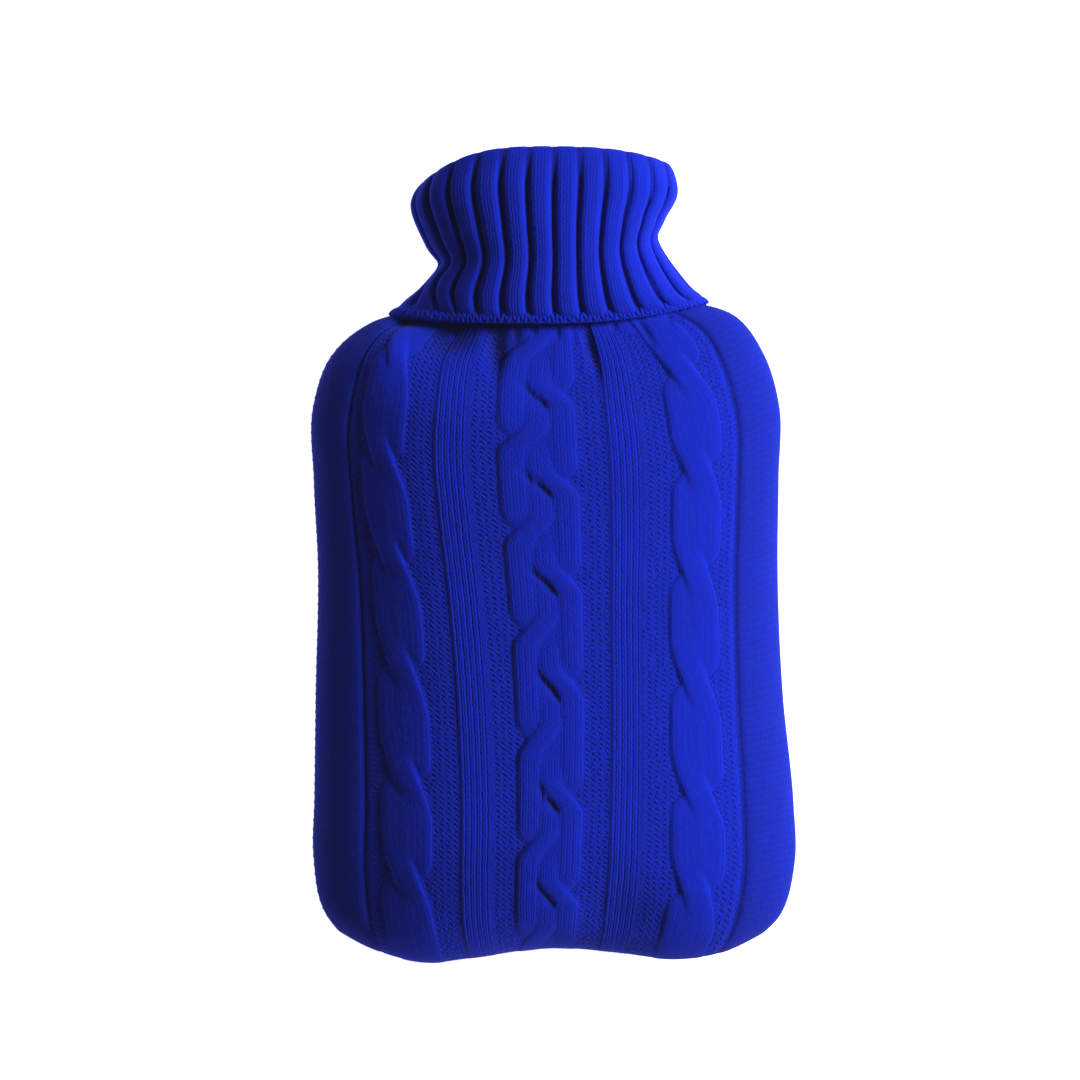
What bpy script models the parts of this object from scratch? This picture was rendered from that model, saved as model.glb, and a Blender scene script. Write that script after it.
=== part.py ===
"""Cable-knit hot water bottle cover with a ribbed roll neck that is turned down over its shoulders.

The cover lies on its back, filled out as its bottle fills it. X runs across the cover, Y runs along it
towards the neck, and Z runs up from the surface it lies on. The names and tables below hold
millimetres, and a mesh takes them in metres.

A place on a panel is (across, share): across runs from -1 at the left side seam to 1 at the right one,
and share runs from 0 at the neck to 1 at the bottom seam.
"""

import math
from collections import namedtuple

import bmesh
import bpy
import numpy as np
from mathutils import Vector

METRE = 0.001

# The cover from the front: where each knitted row ends at the side seams, where it crosses the
# middle of the plait, and how far the cables stand towards the sides in it.
Side = namedtuple("Side", "share left_x left_y right_x right_y middle_x left_spread right_spread")
SIDES = (
    Side(0.000, -39.6, 112.0, 34.3, 112.0, -2.7, 0.60, 0.05),
    Side(0.020, -40.9, 108.4, 35.7, 108.8, -3.0, 0.66, 0.08),
    Side(0.067, -56.0, 100.6, 55.0, 104.5, -4.0, 0.85, 0.16),
    Side(0.124, -75.6, 95.2, 73.2, 99.2, -5.2, 0.62, 0.14),
    Side(0.199, -92.5, 81.0, 86.6, 82.3, -6.2, 0.34, 0.09),
    Side(0.268, -99.4, 61.2, 92.7, 62.2, -5.8, 0.26, 0.07),
    Side(0.371, -99.2, 30.4, 92.6, 31.0, -4.2, 0.20, 0.06),
    Side(0.488, -97.5, -4.5, 92.2, -4.5, -2.5, 0.10, 0.00),
    Side(0.660, -98.4, -55.9, 94.3, -56.7, -1.2, -0.045, -0.06),
    Side(0.811, -99.0, -101.0, 98.8, -102.5, -1.8, -0.13, -0.13),
    Side(0.887, -99.4, -123.6, 99.4, -125.3, -2.6, -0.145, -0.145),
    Side(0.964, -95.1, -146.2, 93.3, -148.3, -3.2, -0.145, -0.145),
    Side(1.000, -89.3, -155.2, 86.5, -156.1, -3.2, -0.145, -0.145),
)
MIDDLE_TOP_Y = 112.0
MIDDLE_BOTTOM_Y = -161.8
ROW_BOW = 2.0  # power by which a row climbs from the plait to the sides

# The bottom edge hangs in two soft lobes with a rise between them.
Bottom = namedtuple("Bottom", "across y")
BOTTOM = (
    Bottom(-1.00, -155.2),
    Bottom(-0.83, -162.4),
    Bottom(-0.55, -167.9),
    Bottom(-0.37, -166.2),
    Bottom(0.05, -161.8),
    Bottom(0.30, -163.5),
    Bottom(0.60, -166.4),
    Bottom(0.80, -164.0),
    Bottom(1.00, -156.1),
)
BOTTOM_REACH = 9.0  # power by which the lobes fade upwards

# Depth of the cover, above and below the flat plane of the side and bottom seam.
CENTRING = (0.3, 1.2, 0.0)  # brings the middle of the cover's box over the origin
SEAM_Z = 29.0
SEAM_GAP = 0.3
NECK_GAP = 0.8
NECK_DEPTH = 19.5
FRONT_DEPTH = 31.9
BACK_DEPTH = 29.0
SHOULDER_START = 0.06  # shares between which the neck's depth grows to the body's
SHOULDER_END = 0.24
FRONT_ROUND = 2.3  # powers that shape the cross sections
BACK_ROUND = 2.6
BACK_PRESS = 1.07  # the back is pressed flat where it lies on the surface
FRONT_TURN = 0.80  # shares below which the faces turn down to the bottom seam
BACK_TURN = 0.86
TURN_ROUND = 2.2

# Knit thickness and the heights of its patterns over the plain knit of the sides.
WALL = 3.0
PURL = -0.4
DITCH = -0.9
COLUMN_RISE = 0.1
STRAND_RISE = 0.5
CROSS_LIFT = 0.4
PATTERN_HALF = 95.0  # half width of the cover that the pattern sizes below belong to
EDGE = 1.6  # width of the flank of a raised column
# A shallow valley runs down the left side, between the rope and the ditch.
VALLEY_MIDDLE = -72.0
VALLEY_HALF = 15.0
VALLEY_DEPTH = 2.0
VALLEY_START = 0.15
VALLEY_END = 0.90
BOTTOM_FADE = 0.93  # share from which the pattern flattens towards the bottom seam
BOTTOM_KEEP = 0.3
TOP_KEEP = 0.4
TOP_FADE = 0.10  # share above which it flattens under the roll neck
NECK_PULL = 0.10  # share down to which the purl grounds are drawn in deeper
NECK_PULL_DEPTH = 1.0

# Pattern, in millimetres from the middle of the plait.
PLAIT_SWING = 8.7
PLAIT_STRAND = 5.7
COLUMN_IN = 24.8
COLUMN_OUT = 38.6
CABLE_MIDDLE = 59.6
CABLE_SWING = 5.0
CABLE_STRAND = 5.5
DITCH_MIDDLE = 76.3
DITCH_HALF = 1.8
# Shares at which the strands cross: the knit is stretched most below its middle.
LEFT_CROSSINGS = (-0.130, 0.012, 0.153, 0.298, 0.445, 0.596, 0.752, 0.888, 1.030)
PLAIT_CROSSINGS = (-0.110, 0.032, 0.173, 0.302, 0.445, 0.598, 0.767, 0.908, 1.050)
RIGHT_CROSSINGS = (-0.100, 0.034, 0.175, 0.316, 0.460, 0.615, 0.772, 0.906, 1.050)
STRAND_POWER = 5.0
UNDER_STEEP = 4.0  # how steeply a rope's strand crosses back under the other one
PLAIT_TURN = 0.17  # share of a turn in which a plait's strand crosses, to either side of the crossing
# A plait's strand over three turns: when it crosses, to which side, and whether over (1) or under (-1).
PLAIT_PATH = ((0.25, 1, 1), (1.25, -1, -1), (1.75, -1, 1), (2.75, 1, -1))

# Grid of the front panel: pattern zone, its outer edge and its number of cells, from the middle out.
Zone = namedtuple("Zone", "name edge cells")
ZONES = (
    Zone("plait", 14.6, 6),
    Zone("purl", COLUMN_IN, 2),
    Zone("column flank", COLUMN_IN + EDGE, 1),
    Zone("column", COLUMN_OUT - EDGE, 1),
    Zone("column flank", COLUMN_OUT, 1),
    Zone("purl", 48.6, 2),
    Zone("cable", 70.6, 8),
    Zone("purl", DITCH_MIDDLE - DITCH_HALF, 1),
    Zone("ditch", DITCH_MIDDLE + DITCH_HALF, 2),
)
FLANK_CELLS = 6
ROW_CELLS = 48
TURN_CELLS = 5
NECK_ROW = 0.013  # share of the first row below the neck seam
TURN_SHARE = 0.955  # share below which the rows are spaced for the steep turn to the seam
LINING_COLUMNS = 12
LINING_ROWS = 16
BACK_COLUMNS = 20
BACK_ROWS = 22

# Roll neck: the middle of its cloth from the hem over the fold and down to the neck seam. The hem
# row is taken from the shoulders that it lies on, and the seam row from the panels' neck edge.
Ring = namedtuple("Ring", "left_x right_x left_y right_y front_y depth bunch turn rib")
RINGS = (
    Ring(-52.0, 53.6, 109.6, 109.6, 104.5, 24.6, 0.09, -0.045, 1.0),
    Ring(-45.6, 41.2, 119.0, 127.8, 119.9, 24.8, 0.045, 0.025, 1.0),
    Ring(-50.9, 43.6, 127.6, 138.0, 134.0, 26.4, 0.065, 0.045, 1.0),
    Ring(-56.9, 48.9, 142.6, 148.6, 150.0, 26.2, 0.085, 0.045, 0.9),
    Ring(-53.2, 46.6, 151.2, 158.8, 164.2, 23.4, 0.085, 0.045, 0.12),
    Ring(-49.4, 42.6, 147.0, 152.2, 155.9, 20.2, 0.085, 0.045, 0.40),
    Ring(-40.6, 35.6, 118.4, 128.0, 120.5, 18.8, 0.045, 0.00, 0.80),
)
HEM_FRONT = 0.067  # shares of the panels at which the hem lies
HEM_LEFT = 0.099
HEM_RIGHT = 0.089
HEM_BUNCH = 0.11
HEM_TURN = 0.06
HEM_RIB = 0.15
FRONT_CLEARANCE = 2.0  # over the plain knit, so that the cables pass under the hem
SIDE_CLEARANCE = 0.5
SEAM_RIB = 0.0
NECK_CLOTH = 2.6
RIBS = 26
RIB_SHIFT = 0.6  # of a rib, from a ridge to the middle of the front
RIB_DEPTH = 1.4  # of its ridges and grooves to either side of the cloth's middle
# Corners of one rib: the share of its width and whether it stands out (1) or in (-1).
RIB_CORNERS = ((0.0, 1.0), (0.62, 1.0), (0.81, -1.0))
RING_STEPS = (0, 0.5, 1, 1.5, 2, 2.5, 3, 4, 4.4, 4.7, 5, 5.4, 6, 7, 8)
RING_BEND = 3.0
RING_SQUARE = 0.82

YARN_BLUE = (0.012, 0.022, 0.52, 1.0)
BACK_BLUE = (0.011, 0.020, 0.48, 1.0)
RIB_BLUE = (0.014, 0.026, 0.55, 1.0)


def clear_scene():
    for obj in list(bpy.data.objects):
        bpy.data.objects.remove(obj, do_unlink=True)


def smooth(at, knots, values):
    """Values on a smooth curve through (knots, values)."""
    at, knots, values = (np.asarray(x, float) for x in (at, knots, values))
    slopes = np.gradient(values, knots, edge_order=1)
    k = np.clip(np.searchsorted(knots, at, side="right") - 1, 0, len(knots) - 2)
    step = knots[k + 1] - knots[k]
    t = (at - knots[k]) / step
    return (
        (2 * t**3 - 3 * t**2 + 1) * values[k]
        + (t**3 - 2 * t**2 + t) * step * slopes[k]
        + (3 * t**2 - 2 * t**3) * values[k + 1]
        + (t**3 - t**2) * step * slopes[k + 1]
    )


def ease(x, low, high):
    """0 below low, 1 above high, and a smooth step between them."""
    t = np.clip((x - low) / (high - low), 0, 1)
    return t * t * (3 - 2 * t)


def side_value(name, share):
    return smooth(share, [s.share for s in SIDES], [getattr(s, name) for s in SIDES])


def seen_across(across, share):
    """Share of the half width at which a wale is seen from the front."""
    spread = np.where(across < 0, side_value("left_spread", share), side_value("right_spread", share))
    return across + spread * across * (1 - abs(across))


def front_view(across, share):
    """X and Y of a place on a panel."""
    seen = seen_across(across, share)
    middle_x = side_value("middle_x", share)
    left_x, right_x = side_value("left_x", share), side_value("right_x", share)
    x = middle_x + np.where(seen < 0, middle_x - left_x, right_x - middle_x) * seen
    middle_y = MIDDLE_TOP_Y + (MIDDLE_BOTTOM_Y - MIDDLE_TOP_Y) * share
    side_y = np.where(seen < 0, side_value("left_y", share), side_value("right_y", share))
    y = middle_y + (side_y - middle_y) * abs(seen) ** ROW_BOW
    end_y = np.where(seen < 0, SIDES[-1].left_y, SIDES[-1].right_y)
    plain = MIDDLE_BOTTOM_Y + (end_y - MIDDLE_BOTTOM_Y) * abs(seen) ** ROW_BOW
    edge = smooth(seen, [b.across for b in BOTTOM], [b.y for b in BOTTOM])
    return x, y + (edge - plain) * share**BOTTOM_REACH


def depth(across, share, front):
    """Distance of the plain knit from the plane of the seam."""
    seen = abs(seen_across(across, share))
    grown = ease(share, SHOULDER_START, SHOULDER_END)
    full = FRONT_DEPTH if front else BACK_DEPTH
    section = np.sqrt(np.clip(1 - seen ** (FRONT_ROUND if front else BACK_ROUND), 0, 1))
    if not front:
        section = np.minimum(section * BACK_PRESS, 1)
    start = FRONT_TURN if front else BACK_TURN
    turn = np.clip((share - start) / (1 - start), 0, 1)
    end = np.sqrt(np.clip(1 - turn**TURN_ROUND, 0, 1))
    return (NECK_DEPTH + (full - NECK_DEPTH) * grown) * section * end


def surface(across, share, front):
    """Points of the plain knit's outer face, as an array of X, Y and Z."""
    across, share = np.broadcast_arrays(np.asarray(across, float), np.asarray(share, float))
    x, y = front_view(across, share)
    rise = depth(across, share, front)
    z = SEAM_Z + (rise if front else -rise)
    return np.stack([x, y, z], axis=-1)


def outward(across, share, front):
    """Unit normals of the plain knit's outer face, away from the seams' corners."""
    step = 1e-4
    inside = np.clip(across, -1 + step, 1 - step)
    along = surface(inside + step, share, front) - surface(inside - step, share, front)
    down = surface(inside, share + step, front) - surface(inside, share - step, front)
    normal = np.cross(down, along) if front else np.cross(along, down)
    return normal / np.linalg.norm(normal, axis=-1, keepdims=True)


def dome(distance, half):
    """1 on the top of a strand, falling steeply to 0 at its edges."""
    return np.sqrt(np.clip(1 - (abs(distance) / half) ** STRAND_POWER, 0, 1))


def strand_top(distance, half, level):
    """Height of one strand, or PURL beside it."""
    top = dome(distance, half)
    return np.where(top > 0, PURL + (STRAND_RISE - PURL) * top + CROSS_LIFT * level * top, PURL)


def rope_strand(turns, number):
    """Where a rope's strand runs beside the middle, and its level in a crossing."""
    angle = math.pi * (turns + number)
    side, level = np.sin(angle), np.cos(angle)
    under = np.tanh(UNDER_STEEP * side) / math.tanh(UNDER_STEEP)
    return CABLE_SWING * np.where(level > 0, side, under), level**7


def plait_strand(turns, number):
    """The same for a plait: a strand crosses over the next one, and goes back under it a turn later."""
    at = (turns + number + PLAIT_PATH[0][0]) % 3
    place, level = 0, 0
    for crossing, way, over in PLAIT_PATH:
        place = place + way * ease(at, crossing - PLAIT_TURN, crossing + PLAIT_TURN)
        level = level + over * np.exp(-(((at - crossing) / PLAIT_TURN) ** 2))
    return PLAIT_SWING * place, level


def rope(from_middle, turns):
    """Height of two strands that cross over each other."""
    tops = []
    for number in range(2):
        centre, level = rope_strand(turns, number)
        tops.append(strand_top(from_middle - centre, CABLE_STRAND, level))
    return np.maximum(*tops)


def plait(from_middle, turns):
    """Height of three plaited strands."""
    height = np.full(np.shape(from_middle), PURL)
    for number in range(3):
        centre, level = plait_strand(turns, number)
        height = np.maximum(height, strand_top(from_middle - centre, PLAIT_STRAND, level))
    return height


def turns_at(share, crossings):
    """How many times a cable's strands have crossed, as a running number."""
    return np.interp(share, crossings, range(len(crossings)))


def relief(across, share):
    """Height of the front's pattern over the plain knit of the sides."""
    place = across * PATTERN_HALF
    off = abs(place)
    height = np.where(off < DITCH_MIDDLE, PURL, 0.0)
    height = height - NECK_PULL_DEPTH * (off < DITCH_MIDDLE) * (1 - ease(share, 0, NECK_PULL))
    column = ease(off, COLUMN_IN, COLUMN_IN + EDGE) * (1 - ease(off, COLUMN_OUT - EDGE, COLUMN_OUT))
    height = height + (COLUMN_RISE - height) * column
    height = np.maximum(height, plait(place, turns_at(share, PLAIT_CROSSINGS)))
    turns = np.where(place < 0, turns_at(share, LEFT_CROSSINGS), turns_at(share, RIGHT_CROSSINGS))
    cable = rope(place - np.sign(place) * CABLE_MIDDLE, turns)
    height = np.where(off > COLUMN_OUT, np.maximum(height, cable), height)
    height = np.where(abs(off - DITCH_MIDDLE) < DITCH_HALF / 2, DITCH, height)
    raised = TOP_KEEP + (1 - TOP_KEEP) * ease(share, HEM_FRONT, TOP_FADE)
    height = np.where(height > 0, height * raised, height)
    height = height * (1 - (1 - BOTTOM_KEEP) * ease(share, BOTTOM_FADE, 1))
    valley = VALLEY_DEPTH * np.exp(-(((place - VALLEY_MIDDLE) / VALLEY_HALF) ** 2))
    return height - valley * ease(share, 0, VALLEY_START) * (1 - ease(share, VALLEY_END, 1))


def half_columns():
    """Places of the front panel's grid lines from the middle to a side seam."""
    places, start = [0.0], 0.0
    for zone in ZONES:
        places += list(np.linspace(start, zone.edge, zone.cells + 1)[1:])
        start = zone.edge
    left = 1 - start / PATTERN_HALF
    flank = [1 - left * (1 - k / FLANK_CELLS) ** 2 for k in range(1, FLANK_CELLS + 1)]
    return [p / PATTERN_HALF for p in places] + flank


def steep_rows(cells):
    """Shares of a grid's rows, closer together at the neck and where the face turns down at the bottom."""
    even = np.linspace(0, TURN_SHARE, cells - TURN_CELLS)
    left = 1 - TURN_SHARE
    turn = [1 - left * (1 - k / TURN_CELLS) ** 2 for k in range(1, TURN_CELLS + 1)]
    return [0, NECK_ROW] + list(even[1:]) + turn


def rounded_columns(cells):
    """Grid lines that stay about as far apart round the sides as they are on the face."""
    return [math.sin(math.pi / 2 * k) for k in np.linspace(-1, 1, cells + 1)]


def face_grid(bm, columns, rows, front, height):
    """A grid on one face of a panel, moved out from the plain knit by height(across, share)."""
    made = bmesh.ops.create_grid(bm, x_segments=len(columns) - 1, y_segments=len(rows) - 1, size=0.5)
    verts = made["verts"]
    column_of = [round((v.co.x + 0.5) * (len(columns) - 1)) for v in verts]
    row_of = [round((0.5 - v.co.y) * (len(rows) - 1)) for v in verts]
    across, share = np.array(columns)[column_of], np.array(rows)[row_of]
    for vert, point in zip(verts, surface(across, share, front)):
        vert.co = Vector(point)
    bm.normal_update()
    side = 1 if front else -1
    rim_z = SEAM_Z + side * SEAM_GAP / 2
    for k, (vert, rise) in enumerate(zip(verts, height(across, share))):
        normal = side * vert.normal
        on_seam = abs(across[k]) == 1 or share[k] == 1
        if share[k] == 0:
            normal.y = 0
        if on_seam:
            normal.z = 0
            normal.normalize()
        vert.co += float(rise) * normal
        if on_seam:
            vert.co.z = rim_z
        else:
            vert.co.z = max(vert.co.z, rim_z) if front else min(vert.co.z, rim_z)


def finish(bm, name, colour):
    """Scales the mesh to metres and makes its object, with its own yarn material."""
    bmesh.ops.recalc_face_normals(bm, faces=bm.faces)
    bmesh.ops.translate(bm, vec=CENTRING, verts=bm.verts)
    bmesh.ops.scale(bm, vec=(METRE,) * 3, verts=bm.verts)
    mesh = bpy.data.meshes.new(name)
    bm.to_mesh(mesh)
    bm.free()
    mesh.shade_smooth()
    obj = bpy.data.objects.new(name, mesh)
    bpy.context.scene.collection.objects.link(obj)
    material = bpy.data.materials.new(name + "_yarn")
    material.use_nodes = True
    shader = material.node_tree.nodes["Principled BSDF"]
    shader.inputs["Base Color"].default_value = colour
    shader.inputs["Roughness"].default_value = 0.95
    shader.inputs["Metallic"].default_value = 0.0
    mesh.materials.append(material)
    return obj


def close_edge(bm):
    """Joins a panel's faces with a flat edge along its seams and a flat edge round the neck."""
    rim = [e for e in bm.edges if e.is_boundary]
    neck = [e for e in rim if all(abs(v.co.y - MIDDLE_TOP_Y) < 1e-3 for v in e.verts)]
    seam = [e for e in rim if e not in neck]
    corners = {v for e in neck for v in e.verts} & {v for e in seam for v in e.verts}
    for side in (-1, 1):
        ends = bm.edges.new([v for v in corners if v.co.x * side > 0])
        neck.append(ends)
        seam.append(ends)
    bmesh.ops.triangle_fill(bm, edges=seam, use_beauty=True, normal=(0, 0, 1))
    bmesh.ops.triangle_fill(bm, edges=neck, use_beauty=True, normal=(0, 1, 0))


def make_panel(name, columns, rows, front, pattern, colour):
    """A dish of knit: its patterned outer face, a coarser inner face and the edge between them."""
    bm = bmesh.new()
    face_grid(bm, columns, rows, front, pattern)
    lining_rows = steep_rows(LINING_ROWS)
    face_grid(bm, rounded_columns(LINING_COLUMNS), lining_rows, front, lambda u, v: np.full(u.shape, -WALL))
    close_edge(bm)
    bmesh.ops.triangulate(bm, faces=bm.faces)
    return finish(bm, name, colour)


def make_front():
    half = half_columns()
    columns = [-p for p in reversed(half[1:])] + half
    rows = steep_rows(ROW_CELLS)
    return make_panel("front_panel", columns, rows, True, relief, YARN_BLUE)


def make_back():
    rows = steep_rows(BACK_ROWS)
    columns = rounded_columns(BACK_COLUMNS)
    return make_panel("back_panel", columns, rows, False, lambda u, v: np.zeros(u.shape), BACK_BLUE)


def around(place, bunch, turn):
    """Angle of a wale of the roll neck from the middle of its front, by its share of the way round."""
    return math.tau * place - bunch * math.sin(2 * math.tau * place) + turn


def body_point(angle, share, lift):
    """Point over the panels' outer face, by its angle from the middle of the front."""
    places = np.linspace(-1, 1, 401)
    across = np.interp(math.sin(angle), seen_across(places, share), places)
    front = math.cos(angle) >= 0
    return surface(across, share, front) + lift * outward(across, share, front)


def hem_point(place):
    """Middle of the cloth at the roll neck's hem."""
    angle = around(place, HEM_BUNCH, HEM_TURN)
    across = math.sin(angle)
    side = HEM_RIGHT if across > 0 else HEM_LEFT
    share = HEM_FRONT + (side - HEM_FRONT) * across**2
    clearance = FRONT_CLEARANCE + (SIDE_CLEARANCE - FRONT_CLEARANCE) * across**2
    return body_point(angle, share, clearance + NECK_CLOTH / 2)


def seam_point(place):
    """Middle of the cloth where the roll neck meets the panels' neck edge."""
    point = body_point(around(place, RINGS[-1].bunch, 0), 0.003, -WALL / 2)
    point[1] = MIDDLE_TOP_Y + NECK_GAP
    return point


def free_ring(ring, place):
    """Point on one of the roll neck's own rings."""
    angle = around(place, ring.bunch, ring.turn)
    right = math.sin(angle) >= 0
    middle_x = (ring.left_x + ring.right_x) / 2
    x = middle_x + (ring.right_x - middle_x) * math.sin(angle)
    side_y = ring.right_y if right else ring.left_y
    y = ring.front_y + (side_y - ring.front_y) * abs(math.sin(angle)) ** RING_BEND
    z = SEAM_Z + math.copysign(ring.depth * abs(math.cos(angle)) ** RING_SQUARE, math.cos(angle))
    return np.array([x, y, z])


def neck_column(place):
    """Middle of the cloth along one wale, from the hem over the fold to the neck seam."""
    points = [hem_point(place)] + [free_ring(ring, place) for ring in RINGS] + [seam_point(place)]
    knots = range(len(points))
    return np.stack([smooth(RING_STEPS, knots, [p[axis] for p in points]) for axis in range(3)], axis=-1)


def make_roll_neck():
    places, stands = [], []
    for rib in range(RIBS):
        for share, out in RIB_CORNERS:
            places.append((rib + share - RIB_CORNERS[1][0] / 2 + RIB_SHIFT) / RIBS)
            stands.append(out)
    bm = bmesh.new()
    stand = bm.verts.layers.float.new("stand")
    rings = len(RING_STEPS)
    made = bmesh.ops.create_grid(bm, x_segments=len(places), y_segments=rings - 1, size=0.5)["verts"]
    columns = np.array([neck_column(place) for place in places])
    column_of = [round((v.co.x + 0.5) * len(places)) % len(places) for v in made]
    ring_of = [round((v.co.y + 0.5) * (rings - 1)) for v in made]
    for vert, column, ring in zip(made, column_of, ring_of):
        vert.co = Vector(columns[column, ring])
    ribbing = smooth(RING_STEPS, range(len(RINGS) + 2), [HEM_RIB] + [r.rib for r in RINGS] + [SEAM_RIB])
    for vert, column, ring in zip(made, column_of, ring_of):
        vert[stand] = stands[column] * ribbing[ring] * RIB_DEPTH
    bmesh.ops.remove_doubles(bm, verts=bm.verts, dist=1e-4)
    bm.normal_update()
    middle = Vector((0, MIDDLE_TOP_Y, SEAM_Z))
    first = min(bm.verts, key=lambda v: v.co.y)
    side = 1 if (first.co - middle).dot(first.normal) > 0 else -1
    for vert, normal in [(v, v.normal.copy()) for v in bm.verts]:
        vert.co += side * vert[stand] * normal
    obj = finish(bm, "roll_neck", RIB_BLUE)
    cloth = obj.modifiers.new("cloth", "SOLIDIFY")
    cloth.thickness = NECK_CLOTH * METRE
    cloth.offset = 0
    return obj


clear_scene()
make_front()
make_back()
make_roll_neck()
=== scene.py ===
"""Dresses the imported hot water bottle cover: a royal blue cable-knit cover with a ribbed roll neck.

The cover lies on its back, X across it, Y towards its mouth, Z up out of its front. Sizes in the
tables are in millimetres; meshes and materials take them in metres.
"""

import math
from collections import namedtuple

import bmesh
import bpy
import numpy as np
from mathutils import Matrix, Vector


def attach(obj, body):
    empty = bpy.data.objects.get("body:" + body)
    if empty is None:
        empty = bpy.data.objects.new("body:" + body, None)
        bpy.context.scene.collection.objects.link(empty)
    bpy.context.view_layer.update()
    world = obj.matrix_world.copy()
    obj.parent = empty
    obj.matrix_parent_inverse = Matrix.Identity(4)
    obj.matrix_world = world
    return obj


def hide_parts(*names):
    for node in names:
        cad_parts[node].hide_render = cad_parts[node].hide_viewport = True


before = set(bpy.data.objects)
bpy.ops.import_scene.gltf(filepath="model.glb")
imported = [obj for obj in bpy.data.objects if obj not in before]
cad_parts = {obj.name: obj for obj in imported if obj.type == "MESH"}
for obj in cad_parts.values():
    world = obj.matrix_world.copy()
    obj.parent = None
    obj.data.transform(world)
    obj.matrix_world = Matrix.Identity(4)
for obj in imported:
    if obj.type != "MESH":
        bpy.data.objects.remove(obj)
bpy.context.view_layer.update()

# ---------------------------------------------------------------------------------------------
# Front panel. One piece of chunky knit in a soft wool blend: a three-strand plait up the middle,
# rope cables and six-wale ribs beside it on purl ground, and plain knit round the sides. It is
# stretched tight, as in use.
# ---------------------------------------------------------------------------------------------

METRE = 0.001
WALE = 2.4  # one stitch's width
COURSE = 2.6  # and height
PURL_WALE = 2.9  # the purl ground is stretched wider

# Where each knitted row ends at the side seams, where it crosses the middle of the plait, and how
# far the cables stand towards the sides in it. Share runs from 0 at the neck to 1 at the bottom.
Side = namedtuple("Side", "share left_x left_y right_x right_y middle_x left_spread right_spread")
SIDES = (
    Side(0.000, -39.6, 112.0, 34.3, 112.0, -2.7, 0.60, 0.05),
    Side(0.020, -40.9, 108.4, 35.7, 108.8, -3.0, 0.66, 0.08),
    Side(0.067, -56.0, 100.6, 55.0, 104.5, -4.0, 0.85, 0.16),
    Side(0.124, -75.6, 95.2, 73.2, 99.2, -5.2, 0.62, 0.14),
    Side(0.199, -92.5, 81.0, 86.6, 82.3, -6.2, 0.34, 0.09),
    Side(0.268, -99.4, 61.2, 92.7, 62.2, -5.8, 0.26, 0.07),
    Side(0.371, -99.2, 30.4, 92.6, 31.0, -4.2, 0.20, 0.06),
    Side(0.488, -97.5, -4.5, 92.2, -4.5, -2.5, 0.10, 0.00),
    Side(0.660, -98.4, -55.9, 94.3, -56.7, -1.2, -0.045, -0.06),
    Side(0.811, -99.0, -101.0, 98.8, -102.5, -1.8, -0.13, -0.13),
    Side(0.887, -99.4, -123.6, 99.4, -125.3, -2.6, -0.145, -0.145),
    Side(0.964, -95.1, -146.2, 93.3, -148.3, -3.2, -0.145, -0.145),
    Side(1.000, -89.3, -155.2, 86.5, -156.1, -3.2, -0.145, -0.145),
)
MIDDLE_TOP_Y = 112.0
MIDDLE_BOTTOM_Y = -161.8
ROW_BOW = 2.0  # power by which a row climbs from the plait to the sides

# The bottom edge hangs in two soft lobes with a rise between them.
Bottom = namedtuple("Bottom", "across y")
BOTTOM = (
    Bottom(-1.00, -155.2),
    Bottom(-0.83, -162.4),
    Bottom(-0.55, -167.9),
    Bottom(-0.37, -166.2),
    Bottom(0.05, -161.8),
    Bottom(0.30, -163.5),
    Bottom(0.60, -166.4),
    Bottom(0.80, -164.0),
    Bottom(1.00, -156.1),
)
BOTTOM_REACH = 9.0  # power by which the lobes fade upwards

CENTRING = (0.3, 1.2, 0.0)  # brings the middle of the cover's box over the origin

# Depth of the cover, above and below the flat plane of the side and bottom seam.
SEAM_Z = 29.0
SEAM_GAP = 0.3
NECK_DEPTH = 19.5
FRONT_DEPTH = 31.9
BACK_DEPTH = 29.0
SHOULDER_START = 0.06  # shares between which the neck's depth grows to the body's
SHOULDER_END = 0.24
FRONT_ROUND = 2.3  # powers that shape the cross sections
BACK_ROUND = 2.6
BACK_PRESS = 1.07  # the back is pressed flat where it lies on the surface
FRONT_TURN = 0.80  # shares below which the faces turn down to the bottom seam
BACK_TURN = 0.86
TURN_ROUND = 2.2

# Knit thickness and the heights of its patterns over the plain knit of the sides.
WALL = 3.0
PURL = -0.4
DITCH = -0.9
COLUMN_RISE = 0.1
STRAND_RISE = 0.5
CROSS_LIFT = 0.4
PATTERN_HALF = 95.0  # half width of the cover that the pattern sizes below belong to
EDGE = 1.6  # width of the flank of a raised column
# A shallow valley runs down the left side, between the rope and the ditch.
VALLEY_MIDDLE = -72.0
VALLEY_HALF = 15.0
VALLEY_DEPTH = 2.0
VALLEY_START = 0.15
VALLEY_END = 0.90
BOTTOM_FADE = 0.93  # share from which the pattern flattens towards the bottom seam
BOTTOM_KEEP = 0.3
NECK_PULL = 0.10  # share down to which the purl grounds are drawn in deeper
NECK_PULL_DEPTH = 1.0
TOP_KEEP = 0.4
HEM_FRONT = 0.067  # share of the panels at which the roll neck's hem lies
TOP_FADE = 0.10  # share above which the pattern flattens under the roll neck

# Pattern, in millimetres from the middle of the plait.
PLAIT_SWING = 8.7
PLAIT_STRAND = 5.7
COLUMN_IN = 24.8
COLUMN_OUT = 38.6
COLUMN_WALES = 6
CABLE_MIDDLE = 59.6
CABLE_SWING = 5.0
CABLE_STRAND = 5.5
DITCH_MIDDLE = 76.3
DITCH_HALF = 1.8
DITCH_SLOPE = 0.7  # share of the half width over which it sinks
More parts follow.
